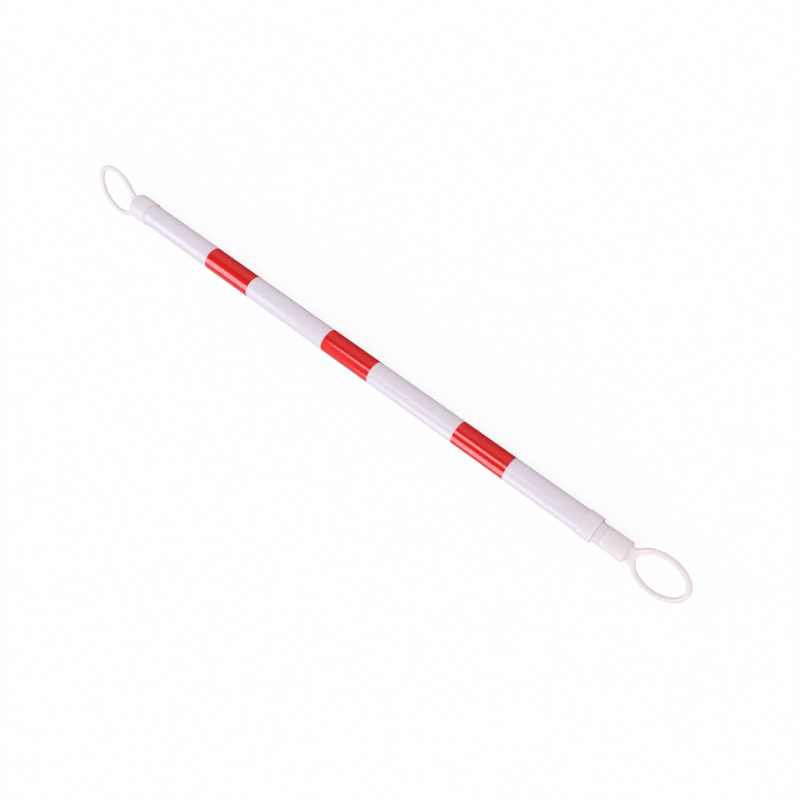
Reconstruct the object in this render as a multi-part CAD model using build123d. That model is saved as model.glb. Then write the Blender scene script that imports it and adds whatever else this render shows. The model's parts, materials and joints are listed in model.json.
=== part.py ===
"""Retractable bar that links two traffic cones.

Two round plastic tubes telescope along X, and a moulded ring stands at each end.
The bar lies on the ground plane with both rings level. The fixed half ends at +X,
the sliding half at -X, and the origin is under the middle of the pushed-in bar.
All sizes are in millimetres.
"""
from build123d import *
import os

# Outer tube and the bare lengths beside its bands
tube_diameter = 40.0
tube_wall = 1.2
far_white = 157.5
near_white = 135.5

# Reflective film bands, alike on both tubes
band_count = 3
band_width = 100.0
band_gap = 173.0
band_thickness = 0.2
adhesive_gap = 0.03

# Inner tube, and how far it shows when the bar is pushed in as it lies
telescope_gap = 1.3
inner_wall = 1.3
exposed_length = 11.5

# Collar on the mouth of the outer tube
collar_length = 24.0
collar_wall = 1.75
lip_thickness = 4.0
lip_clearance = 0.27
collar_chamfer = 1.0
mouth_round = 0.5

# Cap on the far end of the outer tube
cap_wall = 1.75
cap_grip = 35.0
cap_end_wall = 5.0
cap_edge_round = 4.5
cap_rim_chamfer = 1.0

# Plug in the near end of the inner tube, flush with it
plug_length = 43.0
plug_spigot = 30.0
plug_wall = 2.5
plug_end_wall = 6.0
plug_edge_round = 2.5
plug_seat_chamfer = 1.0

# Ring and neck, alike at both ends
ring_hole_diameter = 80.0
ring_width = 8.5
ring_thickness = 7.0
ring_edge_round = 2.5
neck_length = 14.0
neck_step = 1.0
neck_flare = 18.0
neck_root = 3.0

# Bush on the hidden end of the inner tube, and its friction ring
bush_length = 100.0
bush_spigot = 25.0
bush_wall = 2.6
bush_clearance = 0.3
bush_chamfer = 1.0
bush_room = 55.0
groove_setback = 12.0
groove_width = 6.0
groove_depth = 2.5
groove_play = 0.1
friction_fit = 0.05
friction_edge_round = 0.8

# Glued joints and end stops
glue_gap = 0.05
stop_clearance = 0.5

# How near two places have to be to count as one
same_place = 1e-4

# Radii that follow from the sizes above
tube_radius = tube_diameter / 2
bore_radius = tube_radius - tube_wall
inner_radius = bore_radius - telescope_gap
inner_bore_radius = inner_radius - inner_wall
spigot_radius = inner_bore_radius - glue_gap
film_height = adhesive_gap + band_thickness
lip_radius = inner_radius + film_height + lip_clearance
sleeve_seat_radius = tube_radius + glue_gap
collar_radius = sleeve_seat_radius + collar_wall
cap_radius = sleeve_seat_radius + cap_wall
plug_radius = inner_radius
bush_radius = bore_radius - bush_clearance
groove_radius = bush_radius - groove_depth
ring_hole_radius = ring_hole_diameter / 2
ring_outer_radius = ring_hole_radius + ring_width
neck_width = 2 * (plug_radius - neck_step)
axis_height = max(collar_radius, cap_radius)

# Stations along X, from the near ring's tip to the far ring's tip
ring_reach = neck_length + ring_hole_radius
end_reach = ring_reach + ring_outer_radius
striped_length = band_count * band_width + (band_count - 1) * band_gap
visible_tube = near_white + striped_length + far_white
cap_length = cap_grip + cap_end_wall
overall_length = 2 * end_reach + plug_length + exposed_length + collar_length + visible_tube + cap_length
near_face = end_reach - overall_length / 2
plug_seat = near_face + plug_length
mouth = plug_seat + exposed_length
lip_face = mouth + lip_thickness
collar_end = mouth + collar_length
cap_rim = collar_end + visible_tube
cap_floor = cap_rim + cap_grip
far_face = cap_floor + cap_end_wall
bush_back = cap_floor - bush_room
bush_front = bush_back - bush_length
groove_start = bush_front + groove_setback
pull_out = bush_front - lip_face - stop_clearance
push_in = exposed_length - stop_clearance


def rod(radius, start, end):
    """Solid cylinder on the bar's axis between two stations."""
    middle = Pos((start + end) / 2, 0, axis_height)
    return middle * Rot(0, 90, 0) * Cylinder(radius, end - start)


def sleeve(outer, inner, start, end):
    """Hollow cylinder on the bar's axis between two stations."""
    return rod(outer, start, end) - rod(inner, start, end)


def rim(solid, station, radius):
    """Circular edges of a turned piece at one station and radius."""
    circles = solid.edges().filter_by(GeomType.CIRCLE)
    here = [e for e in circles if abs(e.arc_center.X - station) < same_place]
    return [e for e in here if abs(e.radius - radius) < same_place]


def ring_with_neck(face, outward):
    """Flat ring with a flared neck whose root sinks into an end face; outward is +1 or -1 along X."""
    root_end = ring_reach + neck_root
    neck_run = root_end + neck_flare
    outline = Circle(ring_outer_radius) + Pos(-neck_run / 2, 0) * Rectangle(neck_run, neck_width)
    joins = [v for v in outline.vertices() if abs(abs(v.Y) - neck_width / 2) < same_place]
    outline = fillet([v for v in joins if v.X > -ring_outer_radius], neck_flare)
    outline -= Pos(-root_end - neck_flare, 0) * Rectangle(2 * neck_flare, 2 * ring_outer_radius)
    outline -= Circle(ring_hole_radius)
    plate = extrude(outline, ring_thickness / 2, both=True)
    edge_round = min(ring_edge_round, 0.45 * ring_thickness, 0.45 * ring_width)
    level_edges = [e for f in plate.faces().filter_by(Axis.Z) for e in f.edges()]
    plate = fillet([e for e in level_edges if e.center().X > -root_end + same_place], edge_round)
    turn = Rot(0, 0, 0) if outward > 0 else Rot(0, 0, 180)
    return Pos(face + outward * ring_reach, 0, axis_height) * turn * plate


def outer_tube():
    """Extruded tube from the collar's lip to the cap's floor."""
    return sleeve(tube_radius, bore_radius, lip_face, cap_floor)


def band(radius, start):
    """Film wrapped once round a tube."""
    return sleeve(radius + film_height, radius + adhesive_gap, start, start + band_width)


def guide_collar():
    """Sleeve glued over the tube's mouth, with a lip that guides the inner tube."""
    body = rod(collar_radius, mouth, collar_end)
    body = chamfer(rim(body, collar_end, collar_radius), min(collar_chamfer, 0.6 * collar_wall))
    body = fillet(rim(body, mouth, collar_radius), min(mouth_round, 0.4 * collar_wall))
    body -= rod(lip_radius, mouth, lip_face)
    body -= rod(sleeve_seat_radius, lip_face, collar_end)
    return chamfer(rim(body, mouth, lip_radius), min(mouth_round, 0.4 * lip_thickness))


def far_end_cap():
    """Cup glued over the far end of the outer tube, moulded in one with its ring."""
    body = rod(cap_radius, cap_rim, far_face)
    body = fillet(rim(body, far_face, cap_radius), cap_edge_round)
    body = chamfer(rim(body, cap_rim, cap_radius), min(cap_rim_chamfer, 0.6 * cap_wall))
    body -= rod(sleeve_seat_radius, cap_rim, cap_floor)
    return body + ring_with_neck(far_face, 1)


def inner_tube():
    """Sliding tube from the plug's seat to the bush."""
    return sleeve(inner_radius, inner_bore_radius, plug_seat, bush_front)


def near_end_plug():
    """Cored plug glued into the near end of the inner tube, moulded in one with its ring."""
    body = rod(plug_radius, near_face, plug_seat)
    body = fillet(rim(body, near_face, plug_radius), plug_edge_round)
    body = chamfer(rim(body, plug_seat, plug_radius), min(plug_seat_chamfer, 0.8 * (plug_radius - spigot_radius)))
    body += rod(spigot_radius, plug_seat, plug_seat + plug_spigot)
    body -= rod(spigot_radius - plug_wall, near_face + plug_end_wall, plug_seat + plug_spigot)
    return body + ring_with_neck(near_face, -1)


def stop_bush():
    """Hollow bush in the hidden end of the inner tube, grooved for the friction ring."""
    body = rod(bush_radius, bush_front, bush_back)
    body = chamfer(rim(body, bush_back, bush_radius), bush_chamfer)
    body += rod(spigot_radius, bush_front - bush_spigot, bush_front)
    body -= rod(spigot_radius - bush_wall, bush_front - bush_spigot, bush_back)
    return body - sleeve(bore_radius, groove_radius, groove_start, groove_start + groove_width)


def friction_ring():
    """Rubber ring that fills the bush's groove and rubs on the outer tube's bore."""
    start = groove_start + groove_play
    end = groove_start + groove_width - groove_play
    outer = bore_radius - friction_fit
    body = sleeve(outer, groove_radius + friction_fit, start, end)
    return fillet(rim(body, start, outer) + rim(body, end, outer), friction_edge_round)


pieces = {
    "outer_tube": outer_tube(),
    "guide_collar": guide_collar(),
    "far_end_cap": far_end_cap(),
    "inner_tube": inner_tube(),
    "near_end_plug": near_end_plug(),
    "stop_bush": stop_bush(),
    "friction_ring": friction_ring(),
}

# Bands are counted from the near end; those on the inner tube are centred on what shows at full reach
inner_margin = (bush_front - plug_seat - lip_thickness - striped_length) / 2
for place in range(band_count):
    step = place * (band_width + band_gap)
    number = str(place + 1)
    pieces["outer_band_" + number] = band(tube_radius, collar_end + near_white + step)
    pieces["inner_band_" + number] = band(inner_radius, plug_seat + inner_margin + step)

os.makedirs("parts", exist_ok=True)
for name, solid in pieces.items():
    export_step(solid, "parts/" + name + ".step")

print("overall length pushed in as it lies", round(overall_length, 2))
print("overall length drawn out", round(overall_length + pull_out, 2))
print("slide range", round(-push_in, 3), "to", round(pull_out, 3))
print("ring centres at x", round(near_face - ring_reach, 3), "and", round(far_face + ring_reach, 3))
print("axis height", round(axis_height, 3), "ring wall", round(ring_thickness - 2 * ring_edge_round, 3))
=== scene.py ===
"""Looks of a retractable bar that links two traffic cones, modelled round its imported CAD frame.

Lengths are metres in the CAD's own frame: the bar lies along X on the floor at z = 0, with its fixed
half towards +X and its sliding half towards -X. What the frame gives is read from it. The other sizes,
the colours and the stage are properties, which the panel in the sidebar shows.
"""
import json
import math

import bmesh
import bpy
from bpy.props import FloatProperty, FloatVectorProperty, PointerProperty
from bpy.types import Operator, Panel, PropertyGroup
from mathutils import Matrix, Quaternion, Vector


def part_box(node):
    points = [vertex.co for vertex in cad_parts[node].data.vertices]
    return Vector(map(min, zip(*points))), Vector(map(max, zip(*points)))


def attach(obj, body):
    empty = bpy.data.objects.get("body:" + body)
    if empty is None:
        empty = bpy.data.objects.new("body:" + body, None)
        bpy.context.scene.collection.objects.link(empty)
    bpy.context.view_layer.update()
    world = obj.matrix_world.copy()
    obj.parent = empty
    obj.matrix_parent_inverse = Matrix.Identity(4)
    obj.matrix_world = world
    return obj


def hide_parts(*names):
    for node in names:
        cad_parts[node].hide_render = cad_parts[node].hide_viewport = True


bl_info = {
    "name": "Retractable Cone Bar",
    "version": (1, 0, 0),
    "blender": (4, 5, 0),
    "location": "View3D > Sidebar > Cone Bar",
    "description": "Models and dresses a retractable bar that links two traffic cones",
    "category": "Add Mesh",
}

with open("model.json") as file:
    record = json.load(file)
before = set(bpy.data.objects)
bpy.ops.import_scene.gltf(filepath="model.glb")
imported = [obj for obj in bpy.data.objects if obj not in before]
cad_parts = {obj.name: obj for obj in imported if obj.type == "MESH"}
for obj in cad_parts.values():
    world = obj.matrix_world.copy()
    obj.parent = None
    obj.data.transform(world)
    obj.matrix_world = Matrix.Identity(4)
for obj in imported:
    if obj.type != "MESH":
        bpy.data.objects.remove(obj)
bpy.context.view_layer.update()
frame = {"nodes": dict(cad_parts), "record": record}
mounts = {mount["name"]: mount for mount in frame["record"]["mounts"]}

MM = 0.001
AXIS_HEIGHT = mounts["far_ring"]["pos_m"][2]

# Fineness of the meshes
TURN_STEPS = 144
RING_STEPS = 120
FLARE_STEPS = 8
ROUND_STEPS = 6
ROOT_STEP = 1.2 * MM
SAME_PLACE = 0.001 * MM
CREASE_ANGLE = math.radians(40)

# Parts of the stage that keep their place
FLOOR_SIDE = 60.0
SENSOR_WIDTH = 36.0
SILK_SPREAD = math.radians(80)
SILK_TILT = math.radians(-35)
SOFTBOX_HEIGHT = 1.0

# Shape of each softbox, its two ends in X, its two ends in Y and its share of the brightness
SOFTBOXES = {
    "softbox_far": ("RECTANGLE", (0.62, 1.60), (-0.34, 0.50), 1.08),
    "softbox_back": ("ELLIPSE", (-0.42, 0.45), (0.15, 1.14), 1.0),
    "softbox_front": ("ELLIPSE", (-0.22, 0.64), (-1.17, -0.50), 1.05),
    "ceiling_glow": ("RECTANGLE", (0.40, 0.62), (-0.50, 1.30), 0.07),
}

# Level of the room in gloss, by the angle in degrees from the front over the top to the back
GLOSS_LEVELS = ((0, 0.55), (10, 0.55), (15, 0.03), (118, 0.045), (140, 0.46), (180, 0.54))
HALF_TURN = 180

# Sockets of a Mix node that mixes colours
FACTOR = 0
FIRST = 6
SECOND = 7
MIXED = 2


def linear(code):
    """Linear RGB of an sRGB hex colour."""
    shares = [int(code[start:start + 2], 16) / 255 for start in (1, 3, 5)]
    return [s / 12.92 if s <= 0.04045 else ((s + 0.055) / 1.055) ** 2.4 for s in shares]


def length(name, description, millimetres):
    """A length property whose default is given in millimetres."""
    return FloatProperty(name=name, description=description, default=millimetres * MM, min=0.0,
                         precision=5, unit="LENGTH", subtype="DISTANCE")


def colour(name, description, code):
    """A colour property whose default is an sRGB hex value."""
    return FloatVectorProperty(name=name, description=description, default=linear(code), min=0.0,
                               max=1.0, size=3, subtype="COLOR")


def place(name, description, metres):
    """A point property of the stage, in metres."""
    return FloatVectorProperty(name=name, description=description, default=metres, size=3,
                               unit="LENGTH", subtype="TRANSLATION")


class ConeBarTubeSizes(PropertyGroup):
    """Sizes of the two tubes and the film bands on them."""

    outer_wall: length("Outer Wall", "Wall of the outer tube", 1.2)
    inner_wall: length("Inner Wall", "Wall of the inner tube", 1.3)
    inner_run: length("Inner Run", "Length over which the inner tube narrows towards the plug", 9.0)
    inner_fall: length("Inner Fall", "How much the inner tube's radius narrows there", 0.5)
    inner_ease: length("Inner Ease", "Easing where the narrowing begins", 3.0)
    cut_edge: length("Cut Edge", "Round on the sawn ends of both tubes", 0.3)
    film: length("Film", "Thickness of the red film", 0.2)
    film_edge: length("Film Edge", "Round on the cut edges of the film", 0.06)
    film_gap: length("Film Gap", "Gap at the back where the film's ends nearly meet", 0.8)


class ConeBarMouldingSizes(PropertyGroup):
    """Sizes of the collar, the cap, the plug, their rings and the bush."""

    glue_gap: length("Glue Gap", "Room for glue on each seat", 0.05)
    collar_wall: length("Collar Wall", "Wall of the collar over the tube", 1.75)
    lip_gap: length("Lip Gap", "Room between the collar's lip and the inner tube", 0.5)
    lip_thickness: length("Lip Thickness", "Thickness of the collar's lip along the bar", 4.0)
    collar_round: length("Collar Round", "Round on the collar's back edge", 1.0)
    mouth_round: length("Mouth Round", "Round outside and chamfer inside the collar's mouth", 0.5)
    cap_wall: length("Cap Wall", "Wall of the cap over the tube", 1.75)
    cap_edge_round: length("Cap Edge Round", "Round on the cap's closed end", 4.5)
    rim_run: length("Rim Run", "Run along the bar of the taper on the cap's open rim", 2.2)
    rim_fall: length("Rim Fall", "Depth of the taper on the cap's open rim", 1.45)
    plug_wall: length("Plug Wall", "Wall of the plug round its core", 2.5)
    plug_end_wall: length("Plug End Wall", "Thickness of the plug's closed end", 6.0)
    plug_edge_round: length("Plug Edge Round", "Round on the plug's closed end", 2.5)
    seat_run: length("Seat Run", "Length of the plug's chamfer that meets the inner tube", 1.9)
    seat_fall: length("Seat Fall", "Depth of the plug's chamfer that meets the inner tube", 1.3)
    ring_width: length("Ring Width", "Width of the ring between its hole and its outside", 8.5)
    ring_thickness: length("Ring Thickness", "Height of the ring", 7.0)
    ring_round: length("Ring Round", "Round on every edge of the ring", 2.5)
    neck_length: length("Neck Length", "From the end face to the ring's hole", 14.0)
    neck_width: length("Neck Width", "Width of the neck at its narrowest", 33.0)
    neck_flare: length("Neck Flare", "Radius where the neck spreads into the ring", 18.0)
    neck_fillet: length("Neck Fillet", "Fillet where the neck stands on the end", 0.8)
    seam_height: length("Seam Height", "Height of the mould's parting line on ring and neck", 0.12)
    bush_wall: length("Bush Wall", "Wall of the bush", 2.6)
    bush_chamfer: length("Bush Chamfer", "Chamfer on the bush's hidden end", 1.0)
    groove_depth: length("Groove Depth", "Depth of the friction ring's groove", 2.5)
    groove_play: length("Groove Play", "Room beside the friction ring in its groove", 0.1)
    small_round: length("Small Round", "Round on the other edges of the mouldings and the rubber", 0.3)
    rubber_round: length("Rubber Round", "Round on the friction ring's rubbing edges", 0.8)


class ConeBarColours(PropertyGroup):
    """Colours of the pieces and the stage."""

    tube_white: colour("Tube White", "Cold white of the outer tube", "#EAE9EE")
    inner_white: colour("Inner White", "Slightly warmer white of the inner tube", "#EDEBED")
    cap_white: colour("Cap White", "White of the moulded cap and collar", "#F2F0F1")
    plug_white: colour("Plug White", "Slightly warmer white of the moulded plug", "#F1EEEC")
    film_red: colour("Film Red", "Red of the reflective film", "#EA1B17")
    film_backing: colour("Film Backing", "White layer that shows where the film is cut", "#F1EEF2")
    bush_natural: colour("Bush Natural", "Undyed plastic of the bush", "#E0DFD8")
    rubber_black: colour("Rubber Black", "Black of the friction ring", "#262626")
    room_cast: colour("Room Cast", "Faint lilac cast of the even light", "#FFF8FF")
    silk_cast: colour("Silk Cast", "Faint green cast of the light from above", "#F6FFFA")
    softbox_cast: colour("Softbox Cast", "Faint lilac cast of the softboxes", "#FFF0FF")
    paper_grey: colour("Paper Grey", "Pale warm grey of the studio paper", "#EAE1E1")
    # Painted shade: the paper is painted darker where gloss reflects it than it is to matt light
    paper_painted_darker_in_gloss: colour("Paper in Gloss", "Half-dark studio floor that gloss reflects", "#C4BCCC")
    # Painted shadow: a dark colour that gloss sees on the floor beside the bar, standing in for its
    # shade
    painted_shadow_in_gloss: colour("Shade in Gloss", "Shaded floor under the bar that gloss reflects", "#4E4E5C")


class ConeBarStage(PropertyGroup):
    """Camera, painted floor shade and light of the studio."""

    camera_place: place("Camera Place", "Where the camera stands", (-0.6397, -1.150, 0.9202))
    camera_aim: place("Camera Aim", "Point that the camera looks at", (-0.0995, 0.0194, 0.0218))
    camera_roll: FloatProperty(name="Camera Roll", description="Turn of the camera in its own plane",
                               default=math.radians(-129.64), subtype="ANGLE")
    camera_lens: FloatProperty(name="Lens", description="Focal length in millimetres",
                               default=43.785, min=1.0, unit="CAMERA")
    # Reach of the painted shadow that gloss sees on the floor beside the bar
    painted_shadow_core: length("Shade Core", "Half width of the full shade under the bar", 12.0)
    painted_shadow_reach: length("Shade Reach", "Distance from the bar's axis where that shade ends", 55.0)
    room_light: FloatProperty(name="Room Light", description="Even light from all round",
                              default=0.925, min=0.0)
    silk_light: FloatProperty(name="Silk Light", description="Soft light from above, in W/m2",
                              default=0.30, min=0.0)
    softbox_light: FloatProperty(name="Softbox Light", description="Brightness of softboxes in gloss",
                                 default=5.2, min=0.0)


def reach(node):
    """Start and end of a round CAD node along the bar, and its radius."""
    low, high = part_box(node)
    return low.x, high.x, AXIS_HEIGHT - low.z


def turn(bm, profile, closed):
    """Spins a profile of (station, radius) corners once round the bar's axis."""
    corners = [bm.verts.new((station, 0, AXIS_HEIGHT + radius)) for station, radius in profile]
    ends = corners[1:] + corners[:1] if closed else corners[1:]
    sides = [bm.edges.new(pair) for pair in zip(corners, ends)]
    bmesh.ops.spin(bm, geom=corners + sides, cent=(0, 0, AXIS_HEIGHT), axis=(1, 0, 0),
                   angle=math.tau, steps=TURN_STEPS, use_merge=True)


def wrap(bm, start, end, inside, outside, gap):
    """Wraps a strip nearly once round the bar's axis, with its ends a gap apart at the back."""
    half_gap = gap / outside / 2
    corners = []
    for station, radius in ((start, inside), (end, inside), (end, outside), (start, outside)):
        height = AXIS_HEIGHT + radius * math.sin(half_gap)
        corners.append(bm.verts.new((station, radius * math.cos(half_gap), height)))
    sides = [bm.edges.new(pair) for pair in zip(corners, corners[1:] + corners[:1])]
    bmesh.ops.spin(bm, geom=corners + sides, cent=(0, 0, AXIS_HEIGHT), axis=(1, 0, 0),
                   angle=math.tau - 2 * half_gap, steps=TURN_STEPS)
    bmesh.ops.holes_fill(bm, edges=[edge for edge in bm.edges if edge.is_boundary], sides=4)


def back_film(bm):
    """Gives the backing's material to every face of a film that doesn't look away from the axis."""
    looks_out = 0.5
    bmesh.ops.recalc_face_normals(bm, faces=bm.faces)
    axis = Vector((0, 0, AXIS_HEIGHT))
    for face in bm.faces:
        outwards = (face.calc_center_median() - axis) * Vector((0, 1, 1))
        shows_red = face.normal.dot(outwards.normalized()) > looks_out
        face.material_index = 0 if shows_red else 1


def rim(bm, station, radius):
    """Edges of the circle at one station and radius."""
    def on_circle(vert):
        from_axis = math.hypot(vert.co.y, vert.co.z - AXIS_HEIGHT)
        return abs(vert.co.x - station) < SAME_PLACE and abs(from_axis - radius) < SAME_PLACE
    return [edge for edge in bm.edges if all(on_circle(vert) for vert in edge.verts)]


def soften(bm, edges, width, segments):
    """Rounds edges, or chamfers them where there is one segment."""
    bmesh.ops.bevel(bm, geom=edges, offset=width, offset_type="OFFSET", affect="EDGES",
                    segments=segments, profile=0.5, material=-1)


def finish_piece(bm, name, node, body, slot, *materials):
    """Makes a smooth piece from a bmesh, which rides on a body and stands for a CAD node."""
    bmesh.ops.remove_doubles(bm, verts=bm.verts, dist=SAME_PLACE)
    bmesh.ops.recalc_face_normals(bm, faces=bm.faces)
    mesh = bpy.data.meshes.new(name)
    bm.to_mesh(mesh)
    bm.free()
    mesh.shade_smooth()
    mesh.set_sharp_from_angle(angle=CREASE_ANGLE)
    for material in materials:
        mesh.materials.append(material)
    piece = bpy.data.objects.new(name, mesh)
    bpy.context.scene.collection.objects.link(piece)
    weighted = piece.modifiers.new("even_normals", "WEIGHTED_NORMAL")
    weighted.keep_sharp = True
    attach(piece, body)
    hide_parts(node)
    return piece


def add(tree, kind, inputs=None, **settings):
    """Adds a node, sets its properties, and links or sets its inputs."""
    node = tree.nodes.new(kind)
    for key, value in settings.items():
        setattr(node, key, value)
    for key, value in (inputs or {}).items():
        if isinstance(value, bpy.types.NodeSocket):
            tree.links.new(value, node.inputs[key])
        else:
            node.inputs[key].default_value = value
    return node


def empty_tree(owner):
    """The owner's node tree, emptied."""
    owner.use_nodes = True
    owner.node_tree.nodes.clear()
    return owner.node_tree


def new_material(name):
    """A material of that name, new or emptied, and its tree."""
    material = bpy.data.materials.get(name) or bpy.data.materials.new(name)
    return material, empty_tree(material)


def rgba(shade):
    """A colour property as the four numbers a colour socket takes."""
    return (*shade, 1.0)


def extruded_pvc(name, white):
    """Rigid PVC drawn through a die: a semi-gloss skin with long faint die lines and cloudy sheen."""
    material, tree = new_material(name)
    die_line = 2.5 * MM
    line_stretch = 60
    cloud = 35 * MM
    coords = add(tree, "ShaderNodeTexCoord").outputs["Object"]
    drawn = add(tree, "ShaderNodeMapping", {"Vector": coords, "Scale": (1 / line_stretch, 1, 1)})
    lines = add(tree, "ShaderNodeTexNoise",
                {"Vector": drawn.outputs["Vector"], "Scale": 1 / die_line, "Detail": 2.0})
    clouds = add(tree, "ShaderNodeTexNoise", {"Vector": coords, "Scale": 1 / cloud, "Detail": 3.0})
    value = add(tree, "ShaderNodeMapRange",
                {"Value": lines.outputs["Fac"], "To Min": 0.975, "To Max": 1.01})
    tone = add(tree, "ShaderNodeHueSaturation",
               {"Color": rgba(white), "Value": value.outputs["Result"]})
    rough = add(tree, "ShaderNodeMapRange",
                {"Value": clouds.outputs["Fac"], "To Min": 0.22, "To Max": 0.29})
    bump = add(tree, "ShaderNodeBump",
               {"Height": lines.outputs["Fac"], "Strength": 0.25, "Distance": 0.03 * MM})
    shader = add(tree, "ShaderNodeBsdfPrincipled",
                 {"Base Color": tone.outputs["Color"], "Roughness": rough.outputs["Result"],
                  "IOR": 1.53, "Specular IOR Level": 0.22, "Normal": bump.outputs["Normal"]})
    add(tree, "ShaderNodeOutputMaterial", {"Surface": shader.outputs["BSDF"]})
    return material


def extruded_white_pvc(colours):
    """The extruded PVC of the outer tube, in a cold white."""
    return extruded_pvc("extruded_white_pvc", colours.tube_white)


def extruded_warm_white_pvc(colours):
    """The extruded PVC of the inner tube, from a slightly warmer batch."""
    return extruded_pvc("extruded_warm_white_pvc", colours.inner_white)


def moulded_polypropylene(name, white):
    """Injection-moulded polypropylene: a satin, finely grained skin that lets a little light in."""
    material, tree = new_material(name)
    grain = 1.2 * MM  # the mould's grain is about 0.2 mm, too fine to show, so it is drawn coarser
    cloud = 18 * MM
    coords = add(tree, "ShaderNodeTexCoord").outputs["Object"]
    grains = add(tree, "ShaderNodeTexNoise", {"Vector": coords, "Scale": 1 / grain, "Detail": 2.0})
    clouds = add(tree, "ShaderNodeTexNoise", {"Vector": coords, "Scale": 1 / cloud, "Detail": 3.0})
    value = add(tree, "ShaderNodeMapRange",
                {"Value": clouds.outputs["Fac"], "To Min": 0.975, "To Max": 1.02})
    tone = add(tree, "ShaderNodeHueSaturation",
               {"Color": rgba(white), "Value": value.outputs["Result"]})
    rough = add(tree, "ShaderNodeMapRange",
                {"Value": clouds.outputs["Fac"], "To Min": 0.38, "To Max": 0.48})
    bump = add(tree, "ShaderNodeBump",
               {"Height": grains.outputs["Fac"], "Strength": 0.2, "Distance": 0.05 * MM})
    shader = add(tree, "ShaderNodeBsdfPrincipled",
                 {"Base Color": tone.outputs["Color"], "Roughness": rough.outputs["Result"],
                  "IOR": 1.49, "Specular IOR Level": 0.4, "Normal": bump.outputs["Normal"],
                  "Subsurface Weight": 0.3, "Subsurface Scale": 4 * MM,
                  "Subsurface Radius": (1.0, 1.0, 1.0)})
    add(tree, "ShaderNodeOutputMaterial", {"Surface": shader.outputs["BSDF"]})
    return material


def moulded_white_polypropylene(colours):
    """The moulded polypropylene of the cap and the collar, in a clean white."""
    return moulded_polypropylene("moulded_white_polypropylene", colours.cap_white)


def moulded_warm_white_polypropylene(colours):
    """The moulded polypropylene of the plug, in a slightly warmer white than the cap."""
    return moulded_polypropylene("moulded_warm_white_polypropylene", colours.plug_white)


def red_reflective_film(colours):
    """Metallised beads in red resin under clear polyester: deep red, a broad glow and sharp gloss."""
    material, tree = new_material("red_reflective_film")
    bead = 1.0 * MM  # the glass beads are about 0.06 mm, too fine to show, so their speckle is coarser
    ripple = 14 * MM
    coords = add(tree, "ShaderNodeTexCoord").outputs["Object"]
    beads = add(tree, "ShaderNodeTexVoronoi", {"Vector": coords, "Scale": 1 / bead})
    ripples = add(tree, "ShaderNodeTexNoise", {"Vector": coords, "Scale": 1 / ripple, "Detail": 1.0})
    value = add(tree, "ShaderNodeMapRange",
                {"Value": beads.outputs["Distance"], "To Min": 1.02, "To Max": 0.96})
    tone = add(tree, "ShaderNodeHueSaturation",
               {"Color": rgba(colours.film_red), "Value": value.outputs["Result"]})
    rough = add(tree, "ShaderNodeMapRange",
                {"Value": ripples.outputs["Fac"], "To Min": 0.42, "To Max": 0.48})
    bump = add(tree, "ShaderNodeBump",
               {"Height": ripples.outputs["Fac"], "Strength": 0.3, "Distance": 0.01 * MM})
    shader = add(tree, "ShaderNodeBsdfPrincipled",
                 {"Base Color": tone.outputs["Color"], "Metallic": 0.1,
                  "Roughness": rough.outputs["Result"], "Specular IOR Level": 0.0,
                  "Normal": bump.outputs["Normal"], "Coat Weight": 1.0, "Coat Roughness": 0.14,
                  "Coat IOR": 1.65, "Coat Normal": bump.outputs["Normal"]})
    add(tree, "ShaderNodeOutputMaterial", {"Surface": shader.outputs["BSDF"]})
    return material


def cut_film_backing(colours):
    """White backing of the film, laid bare where a blade cut it: matt, with tiny nicks."""
    material, tree = new_material("cut_film_backing")
    nick = 1.5 * MM
    coords = add(tree, "ShaderNodeTexCoord").outputs["Object"]
    nicks = add(tree, "ShaderNodeTexNoise", {"Vector": coords, "Scale": 1 / nick, "Detail": 2.0})
    value = add(tree, "ShaderNodeMapRange",
                {"Value": nicks.outputs["Fac"], "To Min": 0.94, "To Max": 1.03})
    tone = add(tree, "ShaderNodeHueSaturation",
               {"Color": rgba(colours.film_backing), "Value": value.outputs["Result"]})
    shader = add(tree, "ShaderNodeBsdfPrincipled",
                 {"Base Color": tone.outputs["Color"], "Roughness": 0.35, "IOR": 1.5})
    add(tree, "ShaderNodeOutputMaterial", {"Surface": shader.outputs["BSDF"]})
    return material


def moulded_natural_polyethylene(colours):
    """Undyed polyethylene: waxy and milky, with soft flow marks from the mould."""
    material, tree = new_material("moulded_natural_polyethylene")
    flow = 9 * MM
    coords = add(tree, "ShaderNodeTexCoord").outputs["Object"]
    flows = add(tree, "ShaderNodeTexNoise",
                {"Vector": coords, "Scale": 1 / flow, "Detail": 2.0, "Distortion": 0.6})
    value = add(tree, "ShaderNodeMapRange",
                {"Value": flows.outputs["Fac"], "To Min": 0.95, "To Max": 1.02})
    tone = add(tree, "ShaderNodeHueSaturation",
               {"Color": rgba(colours.bush_natural), "Value": value.outputs["Result"]})
    rough = add(tree, "ShaderNodeMapRange",
                {"Value": flows.outputs["Fac"], "To Min": 0.36, "To Max": 0.48})
    shader = add(tree, "ShaderNodeBsdfPrincipled",
                 {"Base Color": tone.outputs["Color"], "Roughness": rough.outputs["Result"],
                  "IOR": 1.51, "Subsurface Weight": 0.15, "Subsurface Scale": 1.5 * MM})
    add(tree, "ShaderNodeOutputMaterial", {"Surface": shader.outputs["BSDF"]})
    return material


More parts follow.
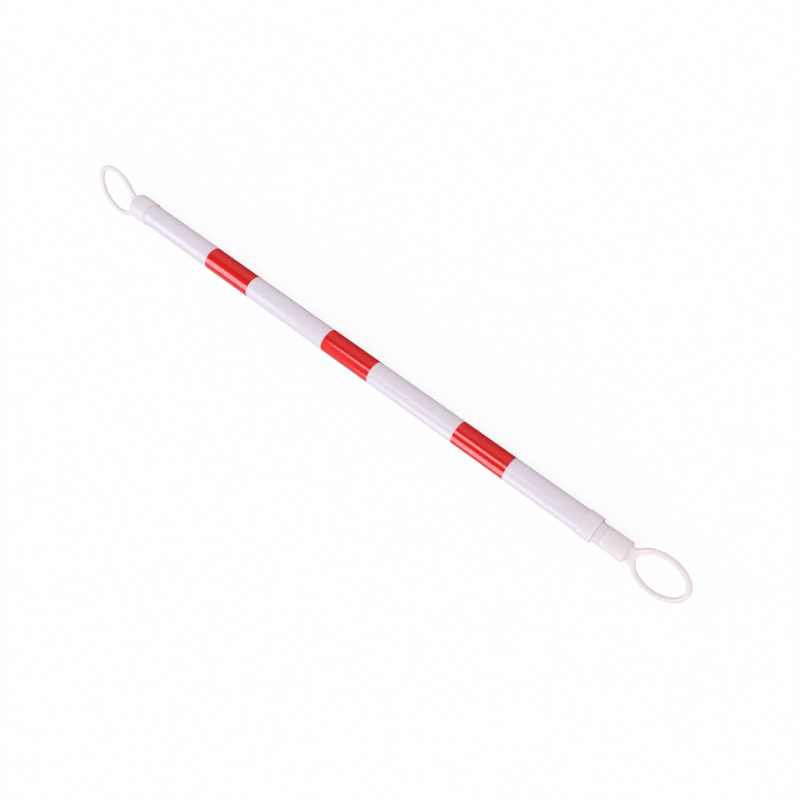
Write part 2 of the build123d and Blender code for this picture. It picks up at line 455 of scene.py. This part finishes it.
def moulded_black_nitrile(colours):
    """Moulded nitrile rubber: dull black with a dry, slightly dusty bloom."""
    material, tree = new_material("moulded_black_nitrile")
    bloom = 3 * MM
    coords = add(tree, "ShaderNodeTexCoord").outputs["Object"]
    blooms = add(tree, "ShaderNodeTexNoise", {"Vector": coords, "Scale": 1 / bloom, "Detail": 4.0})
    value = add(tree, "ShaderNodeMapRange",
                {"Value": blooms.outputs["Fac"], "To Min": 0.8, "To Max": 1.3})
    tone = add(tree, "ShaderNodeHueSaturation",
               {"Color": rgba(colours.rubber_black), "Value": value.outputs["Result"]})
    rough = add(tree, "ShaderNodeMapRange",
                {"Value": blooms.outputs["Fac"], "To Min": 0.62, "To Max": 0.82})
    shader = add(tree, "ShaderNodeBsdfPrincipled",
                 {"Base Color": tone.outputs["Color"], "Roughness": rough.outputs["Result"],
                  "IOR": 1.52})
    add(tree, "ShaderNodeOutputMaterial", {"Surface": shader.outputs["BSDF"]})
    return material


def studio_paper(colours, stage):
    """Matt pale paper, which the camera sees bleached to a white that keeps a faint shadow.

    Gloss sees the paper painted darker than it is, with a deep shadow painted under the bar.
    """
    material, tree = new_material("studio_paper")
    seen_white = 0.9
    rays = add(tree, "ShaderNodeLightPath")
    seen = add(tree, "ShaderNodeMath",
               {0: rays.outputs["Is Camera Ray"], 1: rays.outputs["Is Transmission Ray"]},
               operation="MAXIMUM")
    spot = add(tree, "ShaderNodeTexCoord").outputs["Object"]
    axes = add(tree, "ShaderNodeSeparateXYZ", {"Vector": spot})
    from_bar = add(tree, "ShaderNodeMath", {0: axes.outputs["Y"]}, operation="ABSOLUTE")
    # Mask of the painted shadow: full within the core, fading out by the reach
    clear = add(tree, "ShaderNodeMapRange",
                {"Value": from_bar.outputs[0], "From Min": stage.painted_shadow_core,
                 "From Max": stage.painted_shadow_reach})
    # Painted shadow on the floor beside the bar, laid over the darker paper that gloss sees
    gloss_floor_with_painted_shadow = add(tree, "ShaderNodeMix",
                 {FACTOR: clear.outputs["Result"], FIRST: rgba(colours.painted_shadow_in_gloss),
                  SECOND: rgba(colours.paper_painted_darker_in_gloss)}, data_type="RGBA")
    # Gloss sees the paper painted darker, with the painted shadow; matt light sees the paper's own grey
    in_gloss = add(tree, "ShaderNodeMix",
                   {FACTOR: rays.outputs["Is Glossy Ray"], FIRST: rgba(colours.paper_grey),
                    SECOND: gloss_floor_with_painted_shadow.outputs[MIXED]}, data_type="RGBA")
    bleached = add(tree, "ShaderNodeMix",
                   {FACTOR: seen.outputs[0], FIRST: in_gloss.outputs[MIXED], SECOND: (1, 1, 1, 1)},
                   data_type="RGBA")
    diffuse = add(tree, "ShaderNodeBsdfDiffuse", {"Color": bleached.outputs[MIXED]})
    glow = add(tree, "ShaderNodeEmission", {"Color": (1, 1, 1, 1), "Strength": 1.0})
    share = add(tree, "ShaderNodeMath", {0: seen.outputs[0], 1: seen_white}, operation="MULTIPLY")
    mix = add(tree, "ShaderNodeMixShader",
              {"Fac": share.outputs[0], 1: diffuse.outputs["BSDF"], 2: glow.outputs["Emission"]})
    add(tree, "ShaderNodeOutputMaterial", {"Surface": mix.outputs["Shader"]})
    return material


def draw_flat_ring(bm, hole, outside, half_neck, flare, neck_end):
    """Draws a flat ring about the origin, with a flared neck towards -X."""
    # The flare's arc touches the neck's side and the outside of the ring
    flare_y = half_neck + flare
    flare_x = -math.sqrt((outside + flare) ** 2 - flare_y ** 2)
    meeting = math.atan2(flare_y, flare_x)
    arc = meeting - math.pi / 2

    # The ring itself, from one flare round to the other
    inside_vert = bm.verts.new((hole * math.cos(meeting), hole * math.sin(meeting), 0))
    outside_vert = bm.verts.new((outside * math.cos(meeting), outside * math.sin(meeting), 0))
    across = bm.edges.new((inside_vert, outside_vert))
    bmesh.ops.spin(bm, geom=[inside_vert, outside_vert, across], cent=(0, 0, 0), axis=(0, 0, 1),
                   angle=-2 * meeting, steps=RING_STEPS)

    # The neck, between the rest of the hole and a chain of flare, end and flare
    known = set(bm.edges)
    chain_steps = 2 * FLARE_STEPS + 3
    bmesh.ops.spin(bm, geom=[inside_vert], cent=(0, 0, 0), axis=(0, 0, 1),
                   angle=2 * (math.pi - meeting), steps=chain_steps)
    flared = bmesh.ops.spin(bm, geom=[outside_vert], cent=(flare_x, flare_y, 0), axis=(0, 0, 1),
                            angle=-arc, steps=FLARE_STEPS)
    upper_side = next(item for item in flared["geom_last"] if isinstance(item, bmesh.types.BMVert))
    upper_corner = bm.verts.new((-neck_end, half_neck, 0))
    lower_corner = bm.verts.new((-neck_end, -half_neck, 0))
    lower_side = bm.verts.new((flare_x, -half_neck, 0))
    for pair in ((upper_side, upper_corner), (upper_corner, lower_corner), (lower_corner, lower_side)):
        bm.edges.new(pair)
    bmesh.ops.spin(bm, geom=[lower_side], cent=(flare_x, -flare_y, 0), axis=(0, 0, 1),
                   angle=-arc, steps=FLARE_STEPS)
    bmesh.ops.bridge_loops(bm, edges=[edge for edge in bm.edges if edge not in known])
    bmesh.ops.remove_doubles(bm, verts=bm.verts, dist=SAME_PLACE)


def thicken_ring(bm, thickness, edge_round, seam_height):
    """Gives a flat ring its thickness, rounded edges and the mould's parting line round every wall."""
    raised = bmesh.ops.extrude_face_region(bm, geom=bm.faces[:])["geom"]
    bmesh.ops.translate(bm, verts=[item for item in raised if isinstance(item, bmesh.types.BMVert)],
                        vec=(0, 0, thickness))
    bmesh.ops.translate(bm, verts=bm.verts, vec=(0, 0, -thickness / 2))
    bmesh.ops.recalc_face_normals(bm, faces=bm.faces)
    corners = [edge for edge in bm.edges
               if sorted(round(abs(face.normal.z)) for face in edge.link_faces) == [0, 1]]
    soften(bm, corners, edge_round, segments=ROUND_STEPS)
    uprights = [edge for edge in bm.edges
                if abs(edge.verts[0].co.z + edge.verts[1].co.z) < SAME_PLACE
                and abs(edge.verts[0].co.z - edge.verts[1].co.z) > SAME_PLACE]
    # Of the three new rows of points on a wall, the middle one is raised to the parting line
    bmesh.ops.subdivide_edges(bm, edges=uprights, cuts=3)
    bm.normal_update()
    for vert in bm.verts:
        if abs(vert.co.z) < SAME_PLACE:
            vert.co += vert.normal * seam_height


def open_root(bm, station):
    """Cuts the neck off at a station, and splits the long sides of the cut into short steps."""
    bmesh.ops.bisect_plane(bm, geom=bm.verts[:] + bm.edges[:] + bm.faces[:], plane_co=(station, 0, 0),
                           plane_no=(-1, 0, 0), clear_outer=True)
    for edge in [edge for edge in bm.edges if edge.is_boundary]:
        cuts = math.ceil(edge.calc_length() / ROOT_STEP) - 1
        if cuts:
            bmesh.ops.subdivide_edges(bm, edges=[edge], cuts=cuts)


def root_path(vert, face, radius, edge_round, sizes):
    """Places that lead one vertex of the root over a fillet and the rounded end to the full radius."""
    side = Vector((vert.normal.y, vert.normal.z)).normalized()
    start = Vector((vert.co.y, vert.co.z))
    flat = radius - edge_round

    def fallen(from_axis):
        """How far the rounded end lies behind its flat face at a distance from the axis."""
        into_round = min(max(0.0, from_axis - flat), edge_round)
        return edge_round - math.sqrt(edge_round ** 2 - into_round ** 2)

    places = []
    for step in range(1, ROUND_STEPS + 1):
        angle = math.pi / 2 * step / ROUND_STEPS
        spot = start + side * sizes.neck_fillet * (1 - math.cos(angle))
        height = sizes.neck_fillet * (1 - math.sin(angle)) - fallen(spot.length)
        places.append(Vector((face + height, spot.x, spot.y)))
    # On its way out the path also turns, so that the neck's long sides spread over more of the circle
    first_turn = math.atan2(spot.y, spot.x)
    last_turn = math.atan2(start.y * sizes.neck_width / sizes.ring_thickness, start.x)
    first_angle = math.asin(min(max(0.0, spot.length - flat) / edge_round, 1.0))
    turned_on_flat = max(0.0, 1 - spot.length / flat)
    for step in range(ROUND_STEPS + 1):
        share = step / ROUND_STEPS
        angle = first_angle + (math.pi / 2 - first_angle) * share
        turned_share = turned_on_flat + (1 - turned_on_flat) * share
        turned = first_turn + (last_turn - first_turn) * turned_share
        from_axis = flat + edge_round * math.sin(angle)
        places.append(Vector((face - edge_round * (1 - math.cos(angle)),
                              from_axis * math.cos(turned), from_axis * math.sin(turned))))
    return places


def blend_root(bm, face, radius, edge_round, sizes):
    """Grows the neck's open root in rows over the end of the body that it stands on."""
    root = [edge for edge in bm.edges if edge.is_boundary]
    bm.normal_update()
    paths = {vert: root_path(vert, face, radius, edge_round, sizes)
             for edge in root for vert in edge.verts}
    for row in range(2 * ROUND_STEPS + 1):
        grown = bmesh.ops.extrude_edge_only(bm, edges=root)["geom"]
        root = [item for item in grown if isinstance(item, bmesh.types.BMEdge)]
        new_paths = {}
        for vert in {vert for edge in root for vert in edge.verts}:
            nearby = (edge.other_vert(vert) for edge in vert.link_edges)
            new_paths[vert] = paths[next(other for other in nearby if other in paths)]
        for vert, path in new_paths.items():
            vert.co = path[row]
        paths = new_paths


def ring_and_neck(bm, sizes, mount, outward, radius, edge_round):
    """Ring on a neck that blends into the rounded end of a body; outward is +1 or -1 along X.

    It is made about the ring's centre with the neck towards -X, and then moved to its mount. The blend
    is left open where it reaches the body's full radius, and that station is returned.
    """
    hole = mount["dims"]["r_mm"] * MM
    neck_reach = hole + sizes.neck_length
    # The neck is drawn twice as long as needed, and open_root cuts it off
    draw_flat_ring(bm, hole + sizes.seam_height, hole + sizes.ring_width - sizes.seam_height,
                   sizes.neck_width / 2, sizes.neck_flare, 2 * neck_reach)
    thicken_ring(bm, sizes.ring_thickness, sizes.ring_round, sizes.seam_height)
    open_root(bm, sizes.neck_fillet - neck_reach)
    blend_root(bm, -neck_reach, radius, edge_round, sizes)
    if outward < 0:
        bmesh.ops.rotate(bm, verts=bm.verts, cent=(0, 0, 0), matrix=Matrix.Rotation(math.pi, 3, "Z"))
    bmesh.ops.translate(bm, verts=bm.verts, vec=(mount["pos_m"][0], 0, AXIS_HEIGHT))
    return mount["pos_m"][0] - outward * (neck_reach + edge_round)


def join_blend(bm, blend, body):
    """Bridges the open edge of a neck's blend to the open circle of the body behind it."""
    stations = (blend, body)
    edges = [edge for edge in bm.edges if edge.is_boundary
             and any(all(abs(vert.co.x - x) < SAME_PLACE for vert in edge.verts) for x in stations)]
    bmesh.ops.bridge_loops(bm, edges=edges)


def close_disc(bm, station, radius):
    """Fills an open circle with one flat face."""
    bmesh.ops.holes_fill(bm, edges=rim(bm, station, radius), sides=0)


class CONEBAR_OT_outer_tube(Operator):
    """Make the outer tube, from the collar's lip to the floor of the cap"""

    bl_idname = "conebar.outer_tube"
    bl_label = "Outer Tube"

    def execute(self, context):
        sizes = context.scene.cone_bar_tubes
        start, end, radius = reach("outer_tube")
        bore = radius - sizes.outer_wall
        bm = bmesh.new()
        turn(bm, [(start, radius), (end, radius), (end, bore), (start, bore)], closed=True)
        for station in (start, end):
            soften(bm, rim(bm, station, radius), sizes.cut_edge, segments=2)
        finish_piece(bm, "outer_tube_pvc", "outer_tube", "outer_section", "white_tube",
                     extruded_white_pvc(context.scene.cone_bar_colours))
        return {"FINISHED"}


class CONEBAR_OT_inner_tube(Operator):
    """Make the sliding inner tube, from the plug's seat to the bush"""

    bl_idname = "conebar.inner_tube"
    bl_label = "Inner Tube"

    def execute(self, context):
        sizes = context.scene.cone_bar_tubes
        start, end, radius = reach("inner_tube")
        bore = radius - sizes.inner_wall
        narrowed = radius - sizes.inner_fall
        full = start + sizes.inner_run
        bm = bmesh.new()
        turn(bm, [(start, narrowed), (full, radius), (end, radius), (end, bore), (start, bore)],
             closed=True)
        soften(bm, rim(bm, start, narrowed), sizes.cut_edge, segments=2)
        soften(bm, rim(bm, full, radius), sizes.inner_ease, segments=4)
        soften(bm, rim(bm, end, radius), sizes.cut_edge, segments=2)
        finish_piece(bm, "inner_tube_pvc", "inner_tube", "inner_section", "white_tube",
                     extruded_warm_white_pvc(context.scene.cone_bar_colours))
        return {"FINISHED"}


class CONEBAR_OT_film_bands(Operator):
    """Wrap every red film band round its tube"""

    bl_idname = "conebar.film_bands"
    bl_label = "Film Bands"

    def execute(self, context):
        sizes = context.scene.cone_bar_tubes
        colours = context.scene.cone_bar_colours
        for tube in ("outer", "inner"):
            nodes = sorted(name for name in frame["nodes"] if name.startswith(tube + "_band_"))
            for node in nodes:
                start, end, radius = reach(node)
                bm = bmesh.new()
                wrap(bm, start, end, radius - sizes.film, radius, sizes.film_gap)
                for station in (start, end):
                    soften(bm, rim(bm, station, radius), sizes.film_edge, segments=2)
                back_film(bm)
                finish_piece(bm, "red_film_" + node, node, tube + "_section", "red_film",
                             red_reflective_film(colours), cut_film_backing(colours))
        return {"FINISHED"}


class CONEBAR_OT_guide_collar(Operator):
    """Make the collar on the outer tube's mouth, with the lip that guides the inner tube"""

    bl_idname = "conebar.guide_collar"
    bl_label = "Guide Collar"

    def execute(self, context):
        sizes = context.scene.cone_bar_moulding
        mouth, end, radius = reach("guide_collar")
        seat = radius - sizes.collar_wall
        lip = reach("inner_tube")[2] + sizes.lip_gap
        lip_face = mouth + sizes.lip_thickness
        bm = bmesh.new()
        turn(bm, [(mouth, radius), (end, radius), (end, seat), (lip_face, seat), (lip_face, lip),
                  (mouth, lip)], closed=True)
        soften(bm, rim(bm, end, radius), sizes.collar_round, segments=2)
        soften(bm, rim(bm, mouth, radius), sizes.mouth_round, segments=3)
        soften(bm, rim(bm, mouth, lip), sizes.mouth_round, segments=1)
        finish_piece(bm, "guide_collar_moulding", "guide_collar", "outer_section", "white_moulding",
                     moulded_white_polypropylene(context.scene.cone_bar_colours))
        return {"FINISHED"}


class CONEBAR_OT_far_end_cap(Operator):
    """Make the cap on the outer tube's far end, moulded in one with its ring"""

    bl_idname = "conebar.far_end_cap"
    bl_label = "Far End Cap"

    def execute(self, context):
        sizes = context.scene.cone_bar_moulding
        ring = mounts["far_ring"]
        cap_rim, _, radius = reach("far_end_cap")
        floor = reach("outer_tube")[1]
        seat = radius - sizes.cap_wall
        bm = bmesh.new()
        blend = ring_and_neck(bm, sizes, ring, 1, radius, sizes.cap_edge_round)
        body = blend - ROOT_STEP
        turn(bm, [(body, radius), (cap_rim + sizes.rim_run, radius), (cap_rim, radius - sizes.rim_fall),
                  (cap_rim, seat), (floor, seat)], closed=False)
        join_blend(bm, blend, body)
        close_disc(bm, floor, seat)
        soften(bm, rim(bm, cap_rim + sizes.rim_run, radius), sizes.small_round, segments=2)
        finish_piece(bm, "far_end_cap_moulding", "far_end_cap", "outer_section", "white_moulding",
                     moulded_white_polypropylene(context.scene.cone_bar_colours))
        return {"FINISHED"}


class CONEBAR_OT_near_end_plug(Operator):
    """Make the plug in the inner tube's near end, moulded in one with its ring"""

    bl_idname = "conebar.near_end_plug"
    bl_label = "Near End Plug"

    def execute(self, context):
        sizes = context.scene.cone_bar_moulding
        tubes = context.scene.cone_bar_tubes
        ring = mounts["near_ring"]
        _, spigot_end, radius = reach("near_end_plug")
        seat, _, tube_radius = reach("inner_tube")
        spigot = tube_radius - tubes.inner_wall - sizes.glue_gap
        core = spigot - sizes.plug_wall
        bm = bmesh.new()
        blend = ring_and_neck(bm, sizes, ring, -1, radius, sizes.plug_edge_round)
        body = blend + ROOT_STEP
        core_floor = blend - sizes.plug_edge_round + sizes.plug_end_wall
        turn(bm, [(body, radius), (seat - sizes.seat_run, radius), (seat, radius - sizes.seat_fall),
                  (seat, spigot), (spigot_end, spigot), (spigot_end, core), (core_floor, core)],
             closed=False)
        join_blend(bm, blend, body)
        close_disc(bm, core_floor, core)
        soften(bm, rim(bm, seat - sizes.seat_run, radius), sizes.small_round, segments=2)
        soften(bm, rim(bm, spigot_end, spigot), sizes.small_round, segments=1)
        finish_piece(bm, "near_end_plug_moulding", "near_end_plug", "inner_section", "white_moulding",
                     moulded_warm_white_polypropylene(context.scene.cone_bar_colours))
        return {"FINISHED"}


class CONEBAR_OT_stop_bush(Operator):
    """Make the bush on the inner tube's hidden end, grooved for the friction ring"""

    bl_idname = "conebar.stop_bush"
    bl_label = "Stop Bush"

    def execute(self, context):
        sizes = context.scene.cone_bar_moulding
        tubes = context.scene.cone_bar_tubes
        spigot_start, back, radius = reach("stop_bush")
        _, front, tube_radius = reach("inner_tube")
        ring_start, ring_end, _ = reach("friction_ring")
        spigot = tube_radius - tubes.inner_wall - sizes.glue_gap
        bore = spigot - sizes.bush_wall
        groove = radius - sizes.groove_depth
        groove_start = ring_start - sizes.groove_play
        groove_end = ring_end + sizes.groove_play
        bm = bmesh.new()
        turn(bm, [(spigot_start, spigot), (front, spigot), (front, radius), (groove_start, radius),
                  (groove_start, groove), (groove_end, groove), (groove_end, radius), (back, radius),
                  (back, bore), (spigot_start, bore)], closed=True)
        soften(bm, rim(bm, back, radius), sizes.bush_chamfer, segments=1)
        soften(bm, rim(bm, spigot_start, spigot), sizes.small_round, segments=1)
        for station in (groove_start, groove_end, front):
            soften(bm, rim(bm, station, radius), sizes.small_round, segments=2)
        finish_piece(bm, "stop_bush_moulding", "stop_bush", "inner_section", "bush_plastic",
                     moulded_natural_polyethylene(context.scene.cone_bar_colours))
        return {"FINISHED"}


class CONEBAR_OT_friction_ring(Operator):
    """Make the rubber ring that sits in the bush's groove"""

    bl_idname = "conebar.friction_ring"
    bl_label = "Friction Ring"

    def execute(self, context):
        sizes = context.scene.cone_bar_moulding
        start, end, radius = reach("friction_ring")
        inside = reach("stop_bush")[2] - sizes.groove_depth + sizes.glue_gap
        bm = bmesh.new()
        turn(bm, [(start, radius), (end, radius), (end, inside), (start, inside)], closed=True)
        for station in (start, end):
            soften(bm, rim(bm, station, radius), sizes.rubber_round, segments=4)
            soften(bm, rim(bm, station, inside), sizes.small_round, segments=2)
        finish_piece(bm, "friction_ring_rubber", "friction_ring", "friction_ring", "rubber",
                     moulded_black_nitrile(context.scene.cone_bar_colours))
        return {"FINISHED"}


class CONEBAR_OT_stage(Operator):
    """Set up the paper floor, the studio light and the camera"""

    bl_idname = "conebar.stage"
    bl_label = "Studio Stage"

    def execute(self, context):
        scene = context.scene
        stage = scene.cone_bar_stage
        scene.view_settings.view_transform = "Standard"
        self.lay_floor(scene, stage)
        self.light_room(scene, stage)
        self.hang_lights(scene, stage)
        self.set_camera(scene, stage)
        return {"FINISHED"}

    def lay_floor(self, scene, stage):
        """A wide sheet of paper at z = 0."""
        bm = bmesh.new()
        bmesh.ops.create_grid(bm, x_segments=1, y_segments=1, size=FLOOR_SIDE / 2)
        mesh = bpy.data.meshes.new("paper_floor")
        bm.to_mesh(mesh)
        bm.free()
        mesh.materials.append(studio_paper(scene.cone_bar_colours, stage))
        floor = bpy.data.objects.new("paper_floor", mesh)
        scene.collection.objects.link(floor)

    def light_room(self, scene, stage):
        """A room that is white to the camera, even to matt surfaces and half-dark to gloss."""
        world = bpy.data.worlds.new("studio_room")
        scene.world = world
        tree = empty_tree(world)
        direction = add(tree, "ShaderNodeTexCoord").outputs["Generated"]
        axes = add(tree, "ShaderNodeSeparateXYZ", {"Vector": direction})
        forwards = add(tree, "ShaderNodeMath", {0: axes.outputs["Y"], 1: -1.0}, operation="MULTIPLY")
        turned = add(tree, "ShaderNodeMath", {0: axes.outputs["Z"], 1: forwards.outputs[0]},
                     operation="ARCTAN2")
        half_turns = add(tree, "ShaderNodeMath", {0: turned.outputs[0], 1: math.pi},
                         operation="DIVIDE")
        walls = add(tree, "ShaderNodeValToRGB", {"Fac": half_turns.outputs[0]})
        elements = walls.color_ramp.elements
        while len(elements) < len(GLOSS_LEVELS):
            elements.new(1.0)
        for element, (degrees, level) in zip(elements, GLOSS_LEVELS):
            element.position = degrees / HALF_TURN
            element.color = (level, level, level, 1)
        rays = add(tree, "ShaderNodeLightPath")
        seen = add(tree, "ShaderNodeMath",
                   {0: rays.outputs["Is Camera Ray"], 1: rays.outputs["Is Transmission Ray"]},
                   operation="MAXIMUM")
        even = [stage.room_light * share for share in scene.cone_bar_colours.room_cast]
        in_gloss = add(tree, "ShaderNodeMix",
                       {FACTOR: rays.outputs["Is Glossy Ray"], FIRST: rgba(even),
                        SECOND: walls.outputs["Color"]}, data_type="RGBA")
        all_rays = add(tree, "ShaderNodeMix",
                       {FACTOR: seen.outputs[0], FIRST: in_gloss.outputs[MIXED],
                        SECOND: (1, 1, 1, 1)}, data_type="RGBA")
        background = add(tree, "ShaderNodeBackground",
                         {"Color": all_rays.outputs[MIXED], "Strength": 1.0})
        add(tree, "ShaderNodeOutputWorld", {"Surface": background.outputs["Background"]})

    def hang_lights(self, scene, stage):
        """A soft light that only matt surfaces take, and softboxes that only gloss shows."""
        silk = bpy.data.lights.new("overhead_silk", "SUN")
        silk.energy = stage.silk_light
        silk.color = scene.cone_bar_colours.silk_cast
        silk.angle = SILK_SPREAD
        lamp = bpy.data.objects.new("overhead_silk", silk)
        lamp.rotation_euler = (SILK_TILT, 0, 0)
        lamp.visible_glossy = False
        scene.collection.objects.link(lamp)
        for name, (shape, across, along, share) in SOFTBOXES.items():
            panel = bpy.data.lights.new(name, "AREA")
            panel.shape = shape
            panel.size = across[1] - across[0]
            panel.size_y = along[1] - along[0]
            area = panel.size * panel.size_y * (math.pi / 4 if shape == "ELLIPSE" else 1)
            panel.color = scene.cone_bar_colours.softbox_cast
            panel.energy = stage.softbox_light * share * math.pi * area
            lamp = bpy.data.objects.new(name, panel)
            lamp.location = (sum(across) / 2, sum(along) / 2, SOFTBOX_HEIGHT)
            lamp.visible_camera = False
            lamp.visible_diffuse = False
            scene.collection.objects.link(lamp)

    def set_camera(self, scene, stage):
        """A camera at its place, aimed and rolled."""
        lens = bpy.data.cameras.new("studio_camera")
        lens.lens = stage.camera_lens
        lens.sensor_width = SENSOR_WIDTH
        camera = bpy.data.objects.new("studio_camera", lens)
        start = Vector(stage.camera_place)
        upright = (Vector(stage.camera_aim) - start).to_track_quat("-Z", "Y")
        camera.location = start
        camera.rotation_mode = "QUATERNION"
        camera.rotation_quaternion = upright @ Quaternion((0, 0, 1), stage.camera_roll)
        scene.collection.objects.link(camera)
        scene.camera = camera


operators = (
    CONEBAR_OT_outer_tube,
    CONEBAR_OT_inner_tube,
    CONEBAR_OT_film_bands,
    CONEBAR_OT_guide_collar,
    CONEBAR_OT_far_end_cap,
    CONEBAR_OT_near_end_plug,
    CONEBAR_OT_stop_bush,
    CONEBAR_OT_friction_ring,
    CONEBAR_OT_stage,
)
property_groups = {
    "cone_bar_tubes": ConeBarTubeSizes,
    "cone_bar_moulding": ConeBarMouldingSizes,
    "cone_bar_colours": ConeBarColours,
    "cone_bar_stage": ConeBarStage,
}


class CONEBAR_PT_panel(Panel):
    """Lists the bar's pieces and the properties they are made from"""

    bl_idname = "CONEBAR_PT_panel"
    bl_label = "Retractable Cone Bar"
    bl_space_type = "VIEW_3D"
    bl_region_type = "UI"
    bl_category = "Cone Bar"

    def draw(self, context):
        for operator in operators:
            self.layout.operator(operator.bl_idname)
        for name, group in property_groups.items():
            box = self.layout.box()
            for key in group.__annotations__:
                box.prop(getattr(context.scene, name), key)


def register():
    for name, group in property_groups.items():
        bpy.utils.register_class(group)
        setattr(bpy.types.Scene, name, PointerProperty(type=group))
    for cls in (*operators, CONEBAR_PT_panel):
        bpy.utils.register_class(cls)


def unregister():
    for cls in (CONEBAR_PT_panel, *reversed(operators)):
        bpy.utils.unregister_class(cls)
    for name, group in property_groups.items():
        delattr(bpy.types.Scene, name)
        bpy.utils.unregister_class(group)


def main():
    """Registers the add-on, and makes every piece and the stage."""
    register()
    bpy.ops.conebar.outer_tube()
    bpy.ops.conebar.inner_tube()
    bpy.ops.conebar.film_bands()
    bpy.ops.conebar.guide_collar()
    bpy.ops.conebar.far_end_cap()
    bpy.ops.conebar.near_end_plug()
    bpy.ops.conebar.stop_bush()
    bpy.ops.conebar.friction_ring()
    bpy.ops.conebar.stage()


if __name__ == "__main__":
    main()
